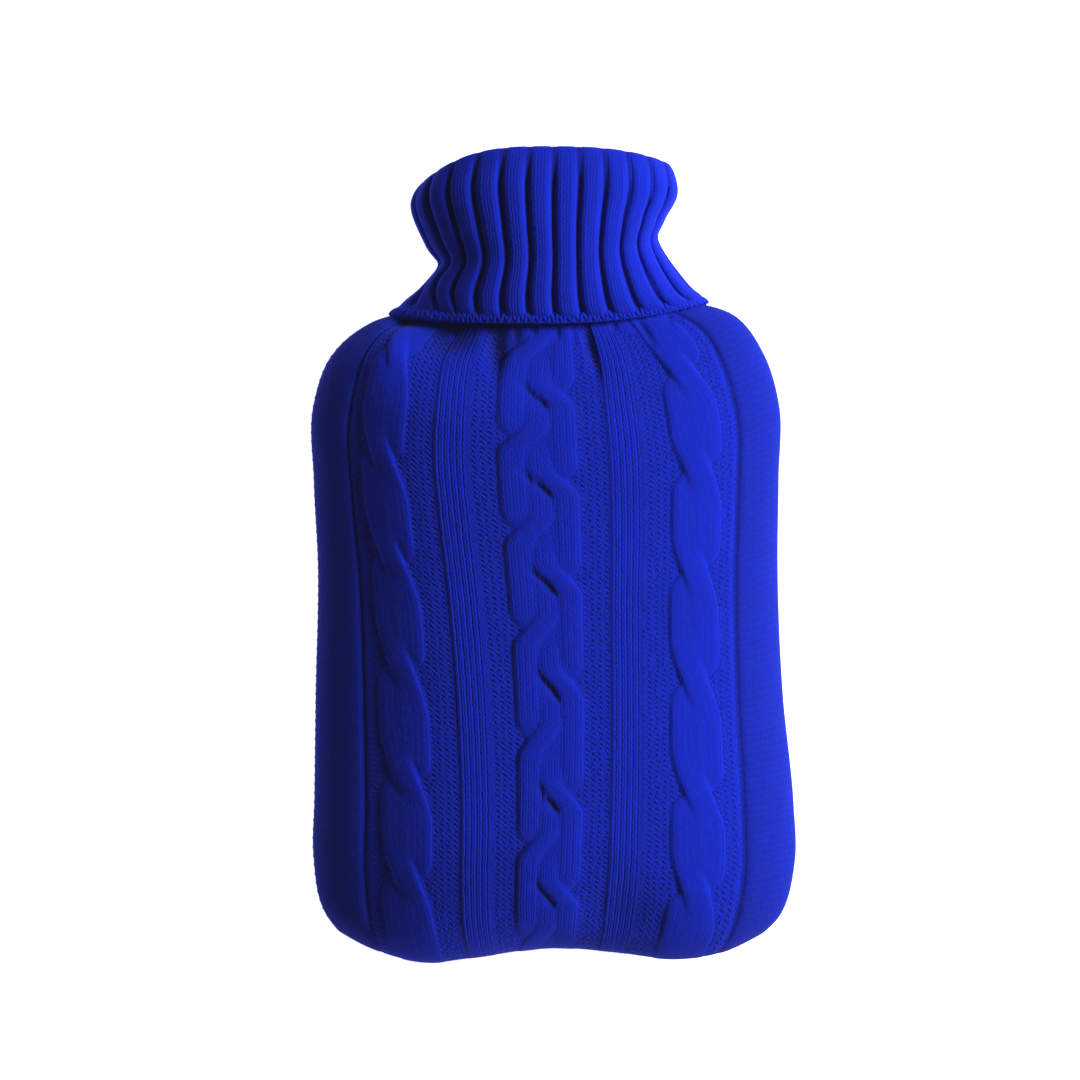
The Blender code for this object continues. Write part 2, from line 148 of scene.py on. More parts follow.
# Shares at which the strands cross: the knit is stretched most below its middle.
LEFT_CROSSINGS = (-0.130, 0.012, 0.153, 0.298, 0.445, 0.596, 0.752, 0.888, 1.030)
PLAIT_CROSSINGS = (-0.110, 0.032, 0.173, 0.302, 0.445, 0.598, 0.767, 0.908, 1.050)
RIGHT_CROSSINGS = (-0.100, 0.034, 0.175, 0.316, 0.460, 0.615, 0.772, 0.906, 1.050)
UNDER_STEEP = 4.0  # how steeply a rope's strand crosses back under the other one
ROPE_TOP = 7  # power that keeps a rope's strands raised only where they cross
PLAIT_TURN = 0.17  # share of a turn in which a plait's strand crosses, to either side of the crossing
PLAIT_TOP = 0.15  # and in which it is raised
# A plait's strand over three turns: when it crosses, to which side, and whether over (1) or under (-1).
PLAIT_PATH = ((0.25, 1, 1), (1.25, -1, -1), (1.75, -1, 1), (2.75, 1, -1))
TURN_LENGTH = 41.0  # of a rope or the plait, for the slope of its strands
CABLE_REACH = 16.0  # to either side of its middle

CREASE = 2.4  # width and depth of the creases beside a crossing strand
CREASE_DEPTH = 0.5
FLANK_FELT = 0.7  # how much of the plain knit's stitches the fuzz hides
PLAIN_SHADE = 0.9  # painted shade over all the plain knit, at the columns' edges and in the ditches
COLUMN_SHADE = 0.15
DITCH_SHADE = 0.08
WALE_RIDGE = 0.035  # how far single wales stand out of the strands and columns
COLUMN_RIDGE = 0.09
SEAM_TUCK = 1.2  # how far the edges roll in at the side seam
TUCK_REACH = 1.3

# Hollows of the cloth: the gathers below the roll neck's hem, the sag between the bottom lobes, and
# a swelling of the left shoulder, with a depth below zero. Shade is how much painted shade darkens each
# hollow.
Hollow = namedtuple("Hollow", "x y half_x half_y slant depth shade")
HOLLOWS = (
    Hollow(-59.0, 94.6, 7.5, 2.6, 0.20, 1.3, 1.4),
    Hollow(-42.0, 88.6, 10.5, 6.4, 0.10, 2.8, 2.0),
    Hollow(-23.8, 85.5, 3.8, 10.5, 0.00, 2.2, 1.8),
    Hollow(-15.6, 89.8, 2.2, 4.2, 0.00, 1.0, 1.6),
    Hollow(-8.2, 91.6, 1.5, 2.6, 0.00, 0.8, 1.0),
    Hollow(1.2, 90.8, 1.3, 3.0, 0.00, 0.8, 0.9),
    Hollow(14.5, 84.0, 1.9, 10.0, -0.27, 1.5, 1.3),
    Hollow(24.2, 93.4, 1.3, 3.2, 0.00, 0.8, 0.9),
    Hollow(37.0, 91.0, 1.7, 5.5, -0.60, 1.0, 0.9),
    Hollow(46.8, 97.0, 1.5, 2.4, 0.00, 0.8, 0.8),
    Hollow(24.0, -150.0, 17.0, 20.0, 0.00, 3.0, 0.2),
    Hollow(-68.0, 84.0, 9.5, 12.0, 0.35, -4.0, 0.0),
)


def smooth(at, knots, values):
    """Values on a smooth curve through (knots, values)."""
    at, knots, values = (np.asarray(x, float) for x in (at, knots, values))
    slopes = np.gradient(values, knots, edge_order=1)
    k = np.clip(np.searchsorted(knots, at, side="right") - 1, 0, len(knots) - 2)
    step = knots[k + 1] - knots[k]
    t = (at - knots[k]) / step
    return (
        (2 * t**3 - 3 * t**2 + 1) * values[k]
        + (t**3 - 2 * t**2 + t) * step * slopes[k]
        + (3 * t**2 - 2 * t**3) * values[k + 1]
        + (t**3 - t**2) * step * slopes[k + 1]
    )


def ease(x, low, high):
    """0 below low, 1 above high, and a smooth step between them."""
    t = np.clip((x - low) / (high - low), 0, 1)
    return t * t * (3 - 2 * t)


def side_value(name, share):
    return smooth(share, [s.share for s in SIDES], [getattr(s, name) for s in SIDES])


def seen_across(across, share):
    """Share of the half width at which a wale is seen from the front."""
    spread = np.where(across < 0, side_value("left_spread", share), side_value("right_spread", share))
    return across + spread * across * (1 - abs(across))


def front_view(across, share):
    """X and Y of a place on a panel."""
    seen = seen_across(across, share)
    middle_x = side_value("middle_x", share)
    left_x, right_x = side_value("left_x", share), side_value("right_x", share)
    x = middle_x + np.where(seen < 0, middle_x - left_x, right_x - middle_x) * seen
    middle_y = MIDDLE_TOP_Y + (MIDDLE_BOTTOM_Y - MIDDLE_TOP_Y) * share
    side_y = np.where(seen < 0, side_value("left_y", share), side_value("right_y", share))
    y = middle_y + (side_y - middle_y) * abs(seen) ** ROW_BOW
    end_y = np.where(seen < 0, SIDES[-1].left_y, SIDES[-1].right_y)
    plain = MIDDLE_BOTTOM_Y + (end_y - MIDDLE_BOTTOM_Y) * abs(seen) ** ROW_BOW
    edge = smooth(seen, [b.across for b in BOTTOM], [b.y for b in BOTTOM])
    return x, y + (edge - plain) * share**BOTTOM_REACH


def depth(across, share, front):
    """Distance of the plain knit from the plane of the seam."""
    seen = abs(seen_across(across, share))
    grown = ease(share, SHOULDER_START, SHOULDER_END)
    full = FRONT_DEPTH if front else BACK_DEPTH
    section = np.sqrt(np.clip(1 - seen ** (FRONT_ROUND if front else BACK_ROUND), 0, 1))
    if not front:
        section = np.minimum(section * BACK_PRESS, 1)
    start = FRONT_TURN if front else BACK_TURN
    turn = np.clip((share - start) / (1 - start), 0, 1)
    end = np.sqrt(np.clip(1 - turn**TURN_ROUND, 0, 1))
    return (NECK_DEPTH + (full - NECK_DEPTH) * grown) * section * end


def surface(across, share, front):
    """Points of the plain knit's outer face, as an array of X, Y and Z."""
    across, share = np.broadcast_arrays(np.asarray(across, float), np.asarray(share, float))
    x, y = front_view(across, share)
    rise = depth(across, share, front)
    z = SEAM_Z + (rise if front else -rise)
    return np.stack([x, y, z], axis=-1)


def outward(across, share, front):
    """Unit normals of the plain knit's outer face, away from the seams' corners."""
    step = 1e-4
    inside = np.clip(across, -1 + step, 1 - step)
    along = surface(inside + step, share, front) - surface(inside - step, share, front)
    down = surface(inside, share + step, front) - surface(inside, share - step, front)
    normal = np.cross(down, along) if front else np.cross(along, down)
    return normal / np.linalg.norm(normal, axis=-1, keepdims=True)


GIRTH_POINTS = 801


def girth(across):
    """Distance round the cover from the middle of the front, half way down, in millimetres."""
    even = np.linspace(-1, 1, GIRTH_POINTS)
    places = even**3 * 0.5 + even * 0.5
    points = surface(places, 0.5, True)
    run = np.concatenate([[0], np.cumsum(np.linalg.norm(np.diff(points, axis=0), axis=1))])
    return np.interp(across, places, run - run[GIRTH_POINTS // 2])


def rope_strand(turns, number):
    """Where a rope's strand runs beside the middle, and its level in a crossing."""
    angle = math.pi * (turns + number)
    side, level = np.sin(angle), np.cos(angle)
    under = np.tanh(UNDER_STEEP * side) / math.tanh(UNDER_STEEP)
    return CABLE_SWING * np.where(level > 0, side, under), level**ROPE_TOP


def plait_strand(turns, number):
    """The same for a plait: a strand crosses over the next one, and goes back under it a turn later."""
    at = (turns + number + PLAIT_PATH[0][0]) % 3
    place, level = 0, 0
    for crossing, way, over in PLAIT_PATH:
        place = place + way * ease(at, crossing - PLAIT_TURN, crossing + PLAIT_TURN)
        level = level + over * np.exp(-(((at - crossing) / PLAIT_TOP) ** 2))
    return PLAIT_SWING * place, level


# The ropes and the plait. Slit and crease are how far the cloth sinks, and how much painted shade
# darkens it, below a strand that crosses to the right and beside the other crossings; core and fill
# are the half width of the filling between the strands and its share of their height; felt is how
# much of the stitches the fuzz hides.
Cable = namedtuple("Cable", "middle crossings path count half power slit crease core fill felt")
CABLES = (
    Cable(0, PLAIT_CROSSINGS, plait_strand, 3, PLAIT_STRAND, 3.0, 1.5, 0.1, 10.0, 0.78, 0.5),
    Cable(-CABLE_MIDDLE, LEFT_CROSSINGS, rope_strand, 2, CABLE_STRAND, 5.0, 0.2, 0.2, 3.2, 1.0, 0.8),
    Cable(CABLE_MIDDLE, RIGHT_CROSSINGS, rope_strand, 2, CABLE_STRAND, 5.0, 0.2, 0.2, 3.2, 1.0, 0.8),
)


def strands(cable, from_middle, turns):
    """A rope's or a plait's height, and the wale, row shift and crease of its uppermost strand; a crease
    sinks the cloth and is darkened with painted shade.
    """
    paths = [cable.path(turns, number) for number in range(cable.count)]
    centre, level = (np.array(part) for part in zip(*paths))
    step = 0.01
    before, after = (
        np.array([cable.path(turns + way, number)[0] for number in range(cable.count)])
        for way in (-step, step)
    )
    slope = (after - before) / (2 * step * TURN_LENGTH)
    off = from_middle - centre
    top = np.sqrt(np.clip(1 - (abs(off) / cable.half) ** cable.power, 0, 1))
    ridge = WALE_RIDGE * (np.cos(math.tau * off / WALE) - 1) * (1 - np.clip(abs(level), 0, 1))
    stand = (STRAND_RISE - PURL + CROSS_LIFT * level + ridge) * top
    height = np.where(top > 0, PURL + stand, PURL - 1)
    upper = height.argmax(axis=0)[None]

    def pick(part):
        return np.take_along_axis(part, upper, 0)[0]

    # Beside a strand that crosses over, the cloth sinks a little and is darkened with painted shade.
    beside = np.exp(-((np.clip(abs(off) - cable.half, 0, None) / CREASE) ** 2))
    dark = np.where((slope > 0) & (off < 0), cable.slit, cable.crease)
    crease = (dark * beside * np.clip(level - pick(level), 0, 1) ** 2).max(axis=0)
    filled = np.sqrt(np.clip(1 - (from_middle / cable.core) ** 4, 0, 1))
    full = PURL + cable.fill * (STRAND_RISE - PURL) * filled
    height = np.maximum(pick(height), full) - CREASE_DEPTH * crease
    return height, pick(off) / WALE, -pick(slope * off) / COURSE, crease


def cable_knit(across, share):
    """The front's pattern: height over the plain sides, wale, row, purl mask and painted shade mask."""
    place = across * PATTERN_HALF
    off = abs(place)
    inside = off < DITCH_MIDDLE
    height = np.where(inside, PURL, 0.0)
    height = height - NECK_PULL_DEPTH * inside * (1 - ease(share, 0, NECK_PULL))
    purl = np.where(inside, 1.0, -FLANK_FELT)
    wale = np.where(inside, place / PURL_WALE, girth(across) / WALE)
    row = share * (MIDDLE_TOP_Y - MIDDLE_BOTTOM_Y) / COURSE
    column = ease(off, COLUMN_IN, COLUMN_IN + EDGE) * (1 - ease(off, COLUMN_OUT - EDGE, COLUMN_OUT))
    rib_wale = (off - COLUMN_IN) / (COLUMN_OUT - COLUMN_IN) * COLUMN_WALES
    ridge = COLUMN_RIDGE * (-np.cos(math.tau * rib_wale) - 1)
    height = height + (COLUMN_RISE + ridge - height) * column
    purl = np.where(inside, purl * (1 - column), purl)
    wale = np.where(column > 0.3, rib_wale, wale)
    # Painted shade along the columns' edges, and evenly over the plain knit outside the ditches.
    painted_shade = np.exp(-((off - COLUMN_IN) ** 2)) + np.exp(-((off - COLUMN_OUT) ** 2))
    painted_shade = np.where(inside, painted_shade * COLUMN_SHADE, PLAIN_SHADE)
    for cable in CABLES:
        turns = np.interp(share, cable.crossings, range(len(cable.crossings)))
        top, own_wale, shift, crease = strands(cable, place - cable.middle, turns)
        on = (top > height) & (abs(place - cable.middle) < CABLE_REACH)
        height = np.where(on, top, height)
        purl = np.where(on, -cable.felt, purl)
        wale = np.where(on, own_wale + 0.5, wale)
        row = np.where(on, row + shift, row)
        painted_shade = np.where(on, crease, painted_shade)
    ditch = np.exp(-(((off - DITCH_MIDDLE) / (DITCH_HALF * DITCH_SLOPE)) ** 2))
    height = height * (1 - ditch) + DITCH * ditch
    valley = VALLEY_DEPTH * np.exp(-(((place - VALLEY_MIDDLE) / VALLEY_HALF) ** 2))
    valley = valley * ease(share, 0, VALLEY_START) * (1 - ease(share, VALLEY_END, 1))
    # Painted shade in the ditches.
    painted_shade = np.maximum(painted_shade, ditch * DITCH_SHADE)
    raised = TOP_KEEP + (1 - TOP_KEEP) * ease(share, HEM_FRONT, TOP_FADE)
    height = np.where(height > 0, height * raised, height)
    height = height * (1 - (1 - BOTTOM_KEEP) * ease(share, BOTTOM_FADE, 1)) - valley
    x, y = front_view(across, share)
    for hollow in HOLLOWS:
        aside = (x - hollow.x - hollow.slant * (y - hollow.y)) / hollow.half_x
        sunk = np.exp(-(aside**2) - ((y - hollow.y) / hollow.half_y) ** 2)
        height = height - hollow.depth * sunk * (1 - ease(share, BOTTOM_FADE, 1))
        # Painted shade in each hollow.
        painted_shade = np.maximum(painted_shade, hollow.shade * sunk)
    return height, wale, row, purl, painted_shade


def plain_knit(across, share):
    """Plain knit all over, evenly darkened by painted shade."""
    wale = girth(across) / WALE
    row = share * (MIDDLE_TOP_Y - MIDDLE_BOTTOM_Y) / COURSE
    none = np.zeros(np.shape(wale + row))
    return none, wale + none, row + none, none - FLANK_FELT, none + PLAIN_SHADE


# Grid of the front panel: zone, outer edge and cells, from the middle out.
Zone = namedtuple("Zone", "name edge cells")
FRONT_ZONES = (
    Zone("plait", 14.6, 26),
    Zone("purl", COLUMN_IN, 8),
    Zone("column", COLUMN_OUT, 28),
    Zone("purl", 48.4, 8),
    Zone("cable", 70.8, 36),
    Zone("purl", DITCH_MIDDLE - DITCH_HALF, 5),
    Zone("ditch", DITCH_MIDDLE + DITCH_HALF, 8),
)
FRONT_FLANK_CELLS = 22
FRONT_ROW_CELLS = 330
BACK_COLUMN_CELLS = 110
BACK_ROW_CELLS = 150
LINING_COLUMN_CELLS = 24
LINING_ROW_CELLS = 30
LINING_TOP_ROWS = (0, 0.007, 0.014)  # shares of the rows that keep the neck edge crisp
TURN_SHARE = 0.955


def zone_columns(zones, flank_cells):
    """Places of grid lines across a panel, from the left side seam to the right one."""
    places, start = [0.0], 0.0
    for zone in zones:
        places += list(np.linspace(start, zone.edge, zone.cells + 1)[1:])
        start = zone.edge
    left = 1 - start / PATTERN_HALF
    flank = [1 - left * (1 - k / flank_cells) ** 2 for k in range(1, flank_cells + 1)]
    half = [p / PATTERN_HALF for p in places] + flank
    return [-p for p in reversed(half[1:])] + half


def rounded_columns(cells):
    """Grid lines that stay about as far apart round the sides as they are on the face."""
    return [math.sin(math.pi / 2 * k) for k in np.linspace(-1, 1, cells + 1)]


def steep_rows(cells):
    """Shares of a grid's rows, closer together where the face turns down to the bottom seam."""
    turn_cells = max(5, cells // 12)
    even = np.linspace(0, TURN_SHARE, cells - turn_cells + 1)
    turn = [1 - (1 - TURN_SHARE) * (1 - k / turn_cells) ** 2 for k in range(1, turn_cells + 1)]
    return list(even) + turn


def panel_face(bm, columns, rows, front, knit, inset):
    """A grid on one face of a panel, moved out by its knit, with each vertex's stitch and painted shade
    kept on it.
    """
    stitch = bm.verts.layers.float_vector["stitch"]
    painted_shade_layer = bm.verts.layers.float["painted_shade"]
    made = bmesh.ops.create_grid(bm, x_segments=len(columns) - 1, y_segments=len(rows) - 1, size=0.5)
    verts = made["verts"]
    flat = np.array([v.co[:2] for v in verts])
    across = np.array(columns)[np.rint((flat[:, 0] + 0.5) * (len(columns) - 1)).astype(int)]
    share = np.array(rows)[np.rint((0.5 - flat[:, 1]) * (len(rows) - 1)).astype(int)]
    for vert, point in zip(verts, surface(across, share, front)):
        vert.co = Vector(point)
    bm.normal_update()
    height, wale, row, purl, painted_shade = knit(across, share)
    side = 1 if front else -1
    rim_z = SEAM_Z + side * SEAM_GAP / 2
    for k, vert in enumerate(verts):
        normal = side * vert.normal
        on_seam = abs(across[k]) == 1 or share[k] == 1
        if share[k] == 0:
            normal.y = 0
        if on_seam:
            normal.z = 0
            normal.normalize()
        rolled = SEAM_TUCK * math.exp(-abs(vert.co.z - rim_z) / TUCK_REACH) if share[k] > HEM_FRONT else 0
        sideways = Vector((normal.x, normal.y, 0))
        vert.co += (float(height[k]) - inset) * normal - rolled * sideways
        if on_seam:
            vert.co.z = rim_z
        else:
            vert.co.z = max(vert.co.z, rim_z) if front else min(max(vert.co.z, 0), rim_z)
        vert[stitch] = Vector((wale[k], row[k], purl[k]))
        vert[painted_shade_layer] = float(painted_shade[k])


def close_edge(bm):
    """Joins a panel's faces with a flat edge along its seams and a flat edge round the neck."""
    rim = [e for e in bm.edges if e.is_boundary]
    neck = [e for e in rim if all(abs(v.co.y - MIDDLE_TOP_Y) < 1e-3 for v in e.verts)]
    in_neck = set(neck)
    seam = [e for e in rim if e not in in_neck]
    corners = {v for e in neck for v in e.verts} & {v for e in seam for v in e.verts}
    for side in (-1, 1):
        ends = bm.edges.new([v for v in corners if v.co.x * side > 0])
        neck.append(ends)
        seam.append(ends)
    bmesh.ops.triangle_fill(bm, edges=seam, use_beauty=True, normal=(0, 0, 1))
    bmesh.ops.triangle_fill(bm, edges=neck, use_beauty=True, normal=(0, 1, 0))


def new_cloth_mesh():
    bm = bmesh.new()
    bm.verts.layers.float_vector.new("stitch")
    # a layer for how much painted shade darkens the yarn at each vertex
    bm.verts.layers.float.new("painted_shade")
    return bm


def make_piece(bm, name, material):
    """Scales a mesh in millimetres to metres and makes its object."""
    bmesh.ops.recalc_face_normals(bm, faces=bm.faces)
    bmesh.ops.translate(bm, vec=CENTRING, verts=bm.verts)
    bmesh.ops.scale(bm, vec=(METRE,) * 3, verts=bm.verts)
    mesh = bpy.data.meshes.new(name)
    bm.to_mesh(mesh)
    bm.free()
    mesh.shade_smooth()
    piece = bpy.data.objects.new(name, mesh)
    bpy.context.scene.collection.objects.link(piece)
    mesh.materials.append(material)
    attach(piece, "root")
    return piece


def make_panel(name, columns, rows, front, knit, material):
    bm = new_cloth_mesh()
    panel_face(bm, columns, rows, front, knit, 0)
    lining_rows = list(LINING_TOP_ROWS) + steep_rows(LINING_ROW_CELLS)[1:]
    panel_face(bm, rounded_columns(LINING_COLUMN_CELLS), lining_rows, front, plain_knit, WALL)
    close_edge(bm)
    return make_piece(bm, name, material)


class Shade:
    """A value in a material: sums on it add Math nodes."""

    def __init__(self, tree, socket):
        self.tree, self.socket = tree, socket

    def of(self, operation, *others):
        values = dict(enumerate((self,) + others))
        return add_node(self.tree, "ShaderNodeMath", {"operation": operation}, values)

    def __add__(self, other):
        return self.of("ADD", other)

    def __mul__(self, other):
        return self.of("MULTIPLY", other)

    def __sub__(self, other):
        return self.of("SUBTRACT", other)

    def __rsub__(self, other):
        return (self * -1) + other

    __radd__, __rmul__ = __add__, __mul__


def add_node(tree, kind, settings, values, output=0):
    """Adds a node, sets it, fills or links its sockets, and gives back one of its outputs."""
    node = tree.nodes.new(kind)
    for name, value in settings.items():
        setattr(node, name, value)
    for name, value in values.items():
        if isinstance(value, Shade):
            tree.links.new(value.socket, node.inputs[name])
        else:
            node.inputs[name].default_value = value
    return Shade(tree, node.outputs[output])


# Yarn colours, as light that the wool gives back; the dark blue is the colour of the painted shade.
YARN_BLUE = (0.0035, 0.0208, 0.60, 1.0)
PAINTED_SHADE_BLUE = (0.006, 0.012, 0.12, 1.0)
YARN_SHEEN = (0.40, 0.40, 0.62, 1.0)
PAINTED_GLOW = 0.0045  # a faint glow painted on the yarn, a pale veil that also lies in the shade
WANDER_SCALE = 300.0  # noises that shift single stitches, ruffle the fibres and tint whole patches
FIBRE_SCALE = 1100.0
PATCH_SCALE = 45.0


def knit_material(name, bump=0.00028, painted_shade_strength=0.5):
    """Matt fuzzy yarn, with painted shade and a faint painted glow. The stitch attribute holds the wale,
    the row and whether the face is purl.
    """
    material = bpy.data.materials.new(name)
    material.use_nodes = True
    tree = material.node_tree
    shader = tree.nodes["Principled BSDF"]
    stitch = add_node(tree, "ShaderNodeAttribute", {"attribute_name": "stitch"}, {}, "Vector")
    painted_shade = add_node(tree, "ShaderNodeAttribute", {"attribute_name": "painted_shade"}, {}, "Fac")
    wale, row, ground = (add_node(tree, "ShaderNodeSeparateXYZ", {}, {0: stitch}, k) for k in range(3))
    place = add_node(tree, "ShaderNodeTexCoord", {}, {}, "Object")
    wander, fibre, patch = (
        add_node(tree, "ShaderNodeTexNoise", {}, {"Vector": place, "Scale": scale, "Detail": 3.0})
        for scale in (WANDER_SCALE, FIBRE_SCALE, PATCH_SCALE)
    )
    # The ground is 1 on purl and 0 on knit, and goes below 0 where the fuzz hides the stitches.
    purl = ground.of("MAXIMUM", 0.0)
    shown = ground.of("MINIMUM", 0.0) + 1
    # Purl is less even than knit, and its rows look closer together.
    wale = wale + (wander - 0.5) * (purl * 0.8 + 0.4)
    row = (row + (wander - 0.5) * 0.9) * (purl * 0.25 + 1)
    # Knit: two legs in each wale lean together into a V.
    half = (wale.of("FRACT") - 0.5).of("ABSOLUTE")
    leg = 1 - ((half - 0.25) * 4).of("POWER", 2.0)
    rung = ((row + half * 1.7).of("FRACT") - 0.5).of("ABSOLUTE") * 2
    knit = leg * (1 - rung.of("POWER", 2.5) * 0.75)
    # Purl: each row is a wave of yarn, and its crests and hollows lock into the next rows'.
    wave = (row + (wale * math.tau).of("COSINE") * 0.24).of("FRACT") - 0.5
    trough = (wave.of("ABSOLUTE") * 2).of("POWER", 1.6)
    bumps = 1 - trough * ((wale * math.tau).of("COSINE") * 0.35 + 0.65)
    loops = knit + (bumps - knit) * purl
    height = loops * (0.6 + 0.7 * purl) * shown + (fibre - 0.5) * 0.45 + (wander - 0.5) * 0.8
    bumped = add_node(tree, "ShaderNodeBump", {}, {"Height": height, "Distance": bump, "Strength": 1.0})
    tree.links.new(bumped.socket, shader.inputs["Normal"])
    # Painted shade: the colour darkens between the loops and in the creases, hollows and grooves;
    # the patch and wander noises also tint the yarn at random.
    lit = 1 - (1 - loops) * (0.10 + purl * (0.10 + wander * 0.45)) * shown
    lit = lit * (0.8 + 0.4 * patch) * (0.9 + 0.2 * wander)
    lit = lit * (1 - painted_shade * painted_shade_strength * (0.8 + 0.2 * (row * math.tau).of("COSINE")))
    colour = add_node(
        tree,
        "ShaderNodeMix",
        {"data_type": "RGBA"},
        {"Factor": lit, "A": PAINTED_SHADE_BLUE, "B": YARN_BLUE},
        "Result",
    )
    tree.links.new(colour.socket, shader.inputs["Base Color"])
    shader.inputs["Roughness"].default_value = 0.95
    shader.inputs["Specular IOR Level"].default_value = 0.15
    shader.inputs["Sheen Weight"].default_value = 0.03
    shader.inputs["Sheen Roughness"].default_value = 0.5
    shader.inputs["Sheen Tint"].default_value = YARN_SHEEN
    # Painted glow: a faint, even emission that lifts the yarn's shade.
    shader.inputs["Emission Color"].default_value = (1, 1, 1, 1)
    shader.inputs["Emission Strength"].default_value = PAINTED_GLOW
    return material


front = make_panel(
    "cable_front",
    zone_columns(FRONT_ZONES, FRONT_FLANK_CELLS),
    steep_rows(FRONT_ROW_CELLS),
    front=True,
    knit=cable_knit,
    material=knit_material("front_yarn"),
)
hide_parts("front_panel")

# ---------------------------------------------------------------------------------------------
# Back panel. The same yarn in plain knit, pressed flat where the cover lies on it. It is sewn to
# the front along both sides and the bottom.
# ---------------------------------------------------------------------------------------------

back = make_panel(
    "plain_back",
    rounded_columns(BACK_COLUMN_CELLS),
    steep_rows(BACK_ROW_CELLS),
    front=False,
    knit=plain_knit,
    material=knit_material("back_yarn"),
)
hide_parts("back_panel")

# ---------------------------------------------------------------------------------------------
# Side and bottom seam. One strand of the yarn, sewn over the two edges every second row, draws
# them together in a shallow groove.
# ---------------------------------------------------------------------------------------------

SEAM_PITCH = 3.7
SEAM_STITCH = (4.2, 1.5, 1.3)  # length, width and thickness
SEAM_SLANT = 0.45
SEAM_PROUD = 0.2  # how far the stitches' middles stand out of the groove
SEAM_POINTS = 300  # on each side, and along the bottom with the corners
CORNER_TUCK = 1.8  # how much deeper the stitches lie at the bottom corners, and over which run
CORNER_REACH = 4.0
SEAM_START = 0.10  # share down the sides where the seam comes out from under the roll neck


def add_stitch(bm, middle, along, out, length, width, thick):
    """One oval turn of yarn, its length on along and its thickness on out."""
    made = bmesh.ops.create_uvsphere(bm, u_segments=8, v_segments=6, radius=0.5)["verts"]
    along = along.normalized()
    out = (out - along * out.dot(along)).normalized()
    aside = along.cross(out)
    turn = Matrix((along * length, aside * width, out * thick)).transposed().to_4x4()
    bmesh.ops.transform(bm, matrix=Matrix.Translation(middle) @ turn, verts=made)
    return made


def seam_route():
    """Points down the left side, along the bottom and up the right side, on the outer faces' edge."""
    left = surface(-1.0, np.linspace(SEAM_START, 1, SEAM_POINTS), True)
    under = surface(np.linspace(-1, 1, SEAM_POINTS)[1:-1], 1.0, True)
    right = surface(1.0, np.linspace(1, SEAM_START, SEAM_POINTS), True)
    return np.concatenate([left, under, right])


bm = new_cloth_mesh()
route = seam_route()
run = np.concatenate([[0], np.cumsum(np.linalg.norm(np.diff(route, axis=0), axis=1))])
corners = run[[SEAM_POINTS - 1, 2 * SEAM_POINTS - 2]]
for at in np.arange(0, run[-1], SEAM_PITCH):
    middle = Vector([np.interp(at, run, route[:, axis]) for axis in range(3)])
    ahead = Vector([np.interp(at + 0.5, run, route[:, axis]) for axis in range(3)])
    away = (ahead - middle).cross(Vector((0, 0, 1))).normalized()
    slant = Vector((0, 0, 1)) + SEAM_SLANT * (ahead - middle).normalized()
    from_corner = abs(at - corners).min() / CORNER_REACH
    inset = SEAM_TUCK - SEAM_PROUD + CORNER_TUCK * math.exp(-(from_corner**2))
    add_stitch(bm, middle - away * inset, slant, away, *SEAM_STITCH)
seam = make_piece(bm, "seam_yarn", knit_material("seam_yarn"))

# ---------------------------------------------------------------------------------------------
# Roll neck. Ribbed knit in the same yarn, picked up round the neck edge, folded over at the rim
# and turned down outside to its hem on the shoulders. The fold spreads wide at the rim.
# ---------------------------------------------------------------------------------------------

# The middle of the cloth from the hem over the fold to the neck seam. A row has its ends and front,
# its depth to either side of the seam's plane, how its wales bunch and turn, and its share of ribbing.
Ring = namedtuple("Ring", "left_x right_x left_y right_y front_y depth bunch turn rib")
RINGS = (
    Ring(-52.0, 53.6, 109.6, 109.6, 104.5, 24.6, 0.09, -0.045, 1.0),
    Ring(-45.6, 41.2, 119.0, 127.8, 119.9, 24.8, 0.045, 0.025, 1.0),
    Ring(-50.9, 43.6, 127.6, 138.0, 134.0, 26.4, 0.065, 0.045, 1.0),
    Ring(-56.9, 48.9, 142.6, 148.6, 150.0, 26.2, 0.085, 0.045, 0.9),
    Ring(-53.2, 46.6, 151.2, 158.8, 164.2, 23.4, 0.085, 0.045, 0.12),
    Ring(-49.4, 42.6, 147.0, 152.2, 155.9, 20.2, 0.085, 0.045, 0.40),
    Ring(-40.6, 35.6, 118.4, 128.0, 120.5, 18.8, 0.045, 0.00, 0.80),
)
HEM_LEFT = 0.099
HEM_RIGHT = 0.089
HEM_BUNCH = 0.11
HEM_TURN = 0.06
FRONT_CLEARANCE = 2.0  # over the plain knit, so that the cables pass under the hem
SIDE_CLEARANCE = -1.1  # the hem is drawn into the shoulders at the sides
GATHER_PLACE = -0.195  # where, how widely and how far the ribs are drawn in at the hem's left end
GATHER_WIDTH = 0.06
GATHER_ANGLE = 0.25
NECK_CLOTH = 2.6
NECK_GAP = 0.8
RIBS = 26
RIB_SHIFT = 0.6  # of a rib, from a ridge to the middle of the front
RIB_DEPTH = 0.85
RIB_WALES = 4.4  # stitches across a rib and its groove
RIB_CELLS = 14
RING_CELLS = 118
RING_BEND = 3.0
RING_SQUARE = 0.82
RIDGE_HALF = 0.29  # shares of a rib's width where its ridge ends and its groove starts
GROOVE_START = 0.37
RIDGE_CROWN = 0.10
BAND_START = 0.20  # ring steps over which the ribs run out into the flat band above the hem
BAND_END = 0.50


def around(place, bunch, turn):
    """Angle of a wale of the roll neck from the middle of its front, by its share of the way round."""
    return math.tau * place - bunch * math.sin(2 * math.tau * place) + turn


def body_point(angle, share, lift):
    """Point over the panels' outer face, by its angle from the middle of the front."""
    places = np.linspace(-1, 1, 401)
    across = np.interp(math.sin(angle), seen_across(places, share), places)
    front = math.cos(angle) >= 0
    return surface(across, share, front) + lift * outward(across, share, front)


